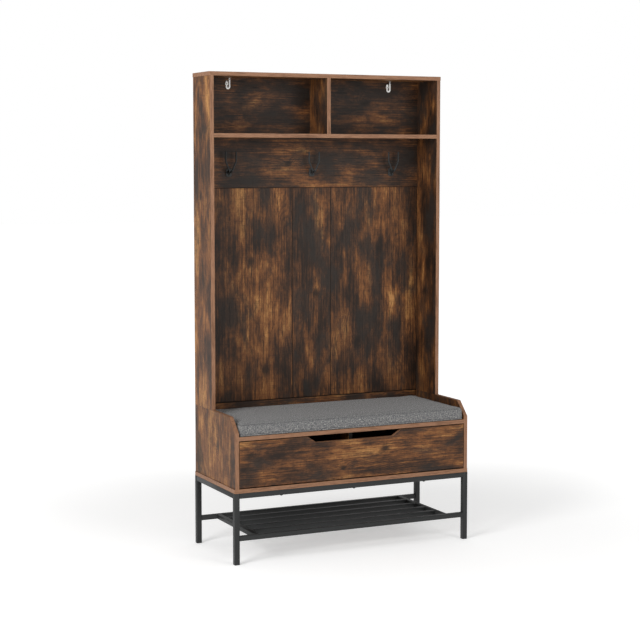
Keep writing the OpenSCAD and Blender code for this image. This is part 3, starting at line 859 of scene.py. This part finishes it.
def tip_strap(side):
    """Moulded strap: a ribbed strip that hangs from its screw and turns up to its bracket."""
    node = "tip_strap_" + side
    low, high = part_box(node)
    r_turn, half = 6.25 * MM, 3 * MM
    x_long = high.x - half
    x_short = low.x + half
    turn_z = low.z + half + r_turn
    end_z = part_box("tip_bracket_" + side)[0].z
    path = [(x_long, z) for z in np.linspace(high.z, turn_z, 40)]
    path += [((x_long + x_short) / 2 + r_turn * math.cos(t), turn_z + r_turn * math.sin(t))
             for t in np.linspace(0, -math.pi, 25)[1:-1]]
    path += [(x_short, z) for z in np.linspace(turn_z, end_z, 10)]
    wall, t = high.y - 0.15 * MM, high.y - low.y - 0.3 * MM
    rings = []
    for k, (x, z) in enumerate(path):
        x1, z1 = path[min(k + 1, len(path) - 1)]
        x0, z0 = path[max(k - 1, 0)]
        run = Vector((x1 - x0, z1 - z0)).normalized()
        nx, nz = -run.y, run.x
        rib = 0.25 * MM if k % 2 else 0.0
        section = [
            (half - 0.15 * MM, 0.35 * MM), (half, 0.0), (half, -t * 0.55), (half * 0.86, -t + 0.3 * MM),
            (half * 0.45, -t + rib), (-half * 0.45, -t + rib), (-half * 0.86, -t + 0.3 * MM),
            (-half, -t * 0.55), (-half, 0.0), (-half + 0.15 * MM, 0.35 * MM)]
        rings.append([(x + nx * a, wall + min(b, 0.0), z + nz * a) for a, b in section])
    bm = bmesh.new()
    loft(bm, rings)
    bmesh.ops.remove_doubles(bm, verts=bm.verts, dist=0.005 * MM)
    piece("strap_" + side, bm, NYLON, replaced=[node], smooth_angle=30)


def tip_bracket(side):
    """Drop-shaped wall bracket with a dished screw hole."""
    node = "tip_bracket_" + side
    low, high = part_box(node)
    x = (low.x + high.x) / 2
    r, hole = 5.5 * MM, 2.0 * MM
    eye_z = low.z + r
    peak = high.z - eye_z
    sides = 48

    def outline(inset):
        points = []
        for k in range(sides):
            t = math.tau * k / sides
            q = r - inset
            a, b = q * math.sin(t), -q * math.cos(t)
            if b > 0:
                lift = b / q
                b = lift * (peak - inset)
                a = a * (1 - 0.42 * lift) + math.copysign(1.6 * MM * lift, a) * (1 if abs(a) > 1e-7 else 0)
            points.append((a, b))
        return points

    def ring(points, y):
        return [(x + a, y, eye_z + b) for a, b in points]

    def circle(q):
        return [(q * math.sin(math.tau * k / sides), -q * math.cos(math.tau * k / sides))
                for k in range(sides)]

    front = low.y
    rings = [
        ring(outline(0), high.y), ring(outline(0), front + 0.8 * MM),
        ring(outline(0.3 * MM), front + 0.25 * MM), ring(outline(0.9 * MM), front),
        ring(circle(3.6 * MM), front), ring(circle(hole), front + 1.5 * MM), ring(circle(hole), high.y)]
    bm = bmesh.new()
    loops = loft(bm, rings, closed_ends=False)
    skin(bm, [loops[-1], loops[0]])
    piece("bracket_" + side, bm, NYLON, replaced=[node], smooth_angle=40)


for side in ("left", "right"):
    tip_strap(side)
    tip_bracket(side)


# --------------------------------------------------------------- seat cushion

SWELL = 3 * MM
SIMULATED_FRAMES = 20


def cushion_start():
    """Rounded block, smaller than the finished cushion by what the cloth will swell."""
    low = CUSHION_LOW + Vector((SWELL, SWELL, 0.5 * MM))
    high = CUSHION_HIGH - Vector((SWELL, SWELL, SWELL))
    bm = bmesh.new()
    middle = (low + high) / 2
    size = high - low
    r = 5.5 * MM

    def ring(inset, z):
        return [(middle.x + p, middle.y + q, z)
                for p, q in rounded_rectangle(size.x / 2 - inset, size.y / 2 - inset, 9 * MM, steps=6)]

    rings = [ring(3 * MM, low.z), ring(0.8 * MM, low.z + 2 * MM), ring(0, low.z + 5 * MM)]
    rings += [ring(r * (1 - math.cos(t)), high.z - r * (1 - math.sin(t)))
              for t in [math.pi / 2 * k / 6 for k in range(7)]]
    loft(bm, rings)
    return bm


def swell(made, pressure, cap):
    """Cloth simulation under pressure, with each point's travel capped."""
    remesh = made.modifiers.new("remesh", "REMESH")
    remesh.mode = "VOXEL"
    remesh.voxel_size = 6 * MM
    bake_modifiers(made)
    rest = vertex_array(made.data)
    pin = made.vertex_groups.new(name="pin")
    bottom = [i for i, p in enumerate(rest) if p[2] < CUSHION_LOW.z + 3 * MM]
    pin.add(bottom, 1.0, "REPLACE")
    cloth = made.modifiers.new("cloth", "CLOTH")
    settings = cloth.settings
    settings.quality = 6
    settings.mass = 0.3
    settings.tension_stiffness = 25
    settings.compression_stiffness = 25
    settings.shear_stiffness = 10
    settings.bending_stiffness = 2.0
    settings.use_pressure = True
    settings.uniform_pressure_force = pressure
    settings.vertex_group_mass = "pin"
    settings.effector_weights.gravity = 0
    cloth.collision_settings.use_collision = False
    for number in range(1, SIMULATED_FRAMES + 1):
        SCENE.frame_set(number)
    bake_modifiers(made)
    moved = vertex_array(made.data) - rest
    length = np.linalg.norm(moved, axis=1)
    scale = np.minimum(1, cap / np.maximum(length, 1e-9))
    set_vertices(made, rest + moved * scale[:, None])
    made.vertex_groups.clear()
    SCENE.frame_set(1)


def vertex_array(data):
    """A mesh's points as rows of an array."""
    co = np.zeros(len(data.vertices) * 3, np.float32)
    data.vertices.foreach_get("co", co)
    return co.reshape(-1, 3).astype(float)


def set_vertices(made, co):
    made.data.vertices.foreach_set("co", co.astype(np.float32).ravel())
    made.data.update()


def fill_box(made):
    """Stretches the swollen pad sideways until it just fills the width and depth of its CAD space."""
    co = vertex_array(made.data)
    low, high = co.min(axis=0), co.max(axis=0)
    share = (co - low) / (high - low)
    co[:, :2] = (np.array(CUSHION_LOW) + share * np.array(CUSHION_HIGH - CUSHION_LOW))[:, :2]
    set_vertices(made, co)


def fit_box(made, low, high):
    """Keeps a soft piece inside its CAD space."""
    co = np.clip(vertex_array(made.data), np.array(low), np.array(high))
    set_vertices(made, co)


def press_seams(made, depth, width):
    """Pinches the cloth along the top and bottom edge seams of the cushion's border."""
    co = vertex_array(made.data)
    middle = np.array((CUSHION_LOW + CUSHION_HIGH) / 2)
    half = np.array((CUSHION_HIGH - CUSHION_LOW) / 2)
    edge, fade = 12 * MM, 6 * MM
    away = np.abs(co - middle) - (half - edge)
    border = np.clip(np.maximum(away[:, 0], away[:, 1]) / fade, 0, 1)
    for z in SEAM_HEIGHTS:
        near = np.exp(-((co[:, 2] - z) / width) ** 2) * border
        pull = co[:, :2] - middle[:2]
        inward = np.where(away[:, 0:1] > away[:, 1:2], [[1.0, 0.0]], [[0.0, 1.0]]) * np.sign(pull)
        co[:, :2] -= inward * (near * depth)[:, None]
    set_vertices(made, co)


def crown(made, height):
    """Adds the gentle dome and the soft unevenness of a foam-filled top."""
    co = vertex_array(made.data)
    middle = np.array((CUSHION_LOW + CUSHION_HIGH) / 2)
    half = np.array((CUSHION_HIGH - CUSHION_LOW) / 2)
    p = (co - middle) / half
    dome = (1 - np.clip(np.abs(p[:, 0]), 0, 1) ** 8) * (1 - np.clip(np.abs(p[:, 1]), 0, 1) ** 4)
    ripple = 0.5 * np.sin(co[:, 0] * 23 + 1.3 * np.sin(co[:, 1] * 31)) * np.sin(co[:, 1] * 37 + 0.8)
    top = np.clip(p[:, 2], 0, 1)
    co[:, 2] += top * (dome * height + ripple * 0.5 * MM)
    set_vertices(made, co)


def seat_cushion():
    """Linen box cushion: a block swollen by cloth simulation, then crowned, with its seams pressed in."""
    made = piece("linen_cushion", cushion_start(), LINEN, replaced=["seat_cushion"],
                 smooth_angle=0)
    swell(made, pressure=4.0, cap=SWELL + 1 * MM)
    fine = made.modifiers.new("fine", "SUBSURF")
    fine.levels = fine.render_levels = 1
    bake_modifiers(made)
    fill_box(made)
    crown(made, height=2 * MM)
    press_seams(made, depth=2.8 * MM, width=2.8 * MM)
    fit_box(made, CUSHION_LOW + Vector((0, 0, 0.4 * MM)), CUSHION_HIGH + Vector((0, 0, 3 * MM)))
    made.data.materials.clear()
    made.data.materials.append(LINEN)


seat_cushion()


# ------------------------------------------------------------- studio, camera

def area_light(name, place, target, size, power):
    data = bpy.data.lights.new(name, "AREA")
    data.shape = "DISK"
    data.size = size
    data.energy = power
    made = bpy.data.objects.new(name, data)
    made.location = place
    made.rotation_euler = (Vector(target) - Vector(place)).to_track_quat("-Z", "Y").to_euler()
    SCENE.collection.objects.link(made)


def studio():
    """White surroundings, two soft lights and a pale floor."""
    SCENE.view_settings.view_transform = "Standard"
    world = bpy.data.worlds.new("studio")
    world.use_nodes = True
    background = world.node_tree.nodes["Background"]
    background.inputs["Color"].default_value = (1, 1, 1, 1)
    SCENE.world = world
    seen = world.node_tree.nodes.new("ShaderNodeLightPath").outputs["Is Camera Ray"]
    level = world.node_tree.nodes.new("ShaderNodeMapRange")
    level.inputs["To Min"].default_value = 0.5
    level.inputs["To Max"].default_value = 1.0
    world.node_tree.links.new(seen, level.inputs["Value"])
    world.node_tree.links.new(level.outputs[0], background.inputs["Strength"])
    area_light("key", (-4.2, -2.2, 2.4), (0, 0, 0.9), size=2.2, power=150)
    area_light("fill", (1.5, -4.6, 2.6), (0, 0, 0.7), size=2.6, power=60)
    bm = bmesh.new()
    bmesh.ops.create_grid(bm, x_segments=4, y_segments=4, size=30)
    data = bpy.data.meshes.new("floor")
    bm.to_mesh(data)
    bm.free()
    floor = bpy.data.objects.new("floor", data)
    floor.location.z = -0.2 * MM
    data.materials.append(floor_material())
    SCENE.collection.objects.link(floor)


def camera():
    """Long lens, from the front left and a little above the middle, tilted down by 5 degrees."""
    data = bpy.data.cameras.new("camera")
    data.lens = 90.96
    data.sensor_width = 36
    data.shift_y = -0.03
    data.clip_end = 100
    made = bpy.data.objects.new("camera", data)
    made.location = (-2.7028, -5.5600, 1.4766)
    made.rotation_euler = (math.radians(90 - 5), 0, math.radians(-25.496))
    SCENE.collection.objects.link(made)
    SCENE.camera = made


studio()
camera()
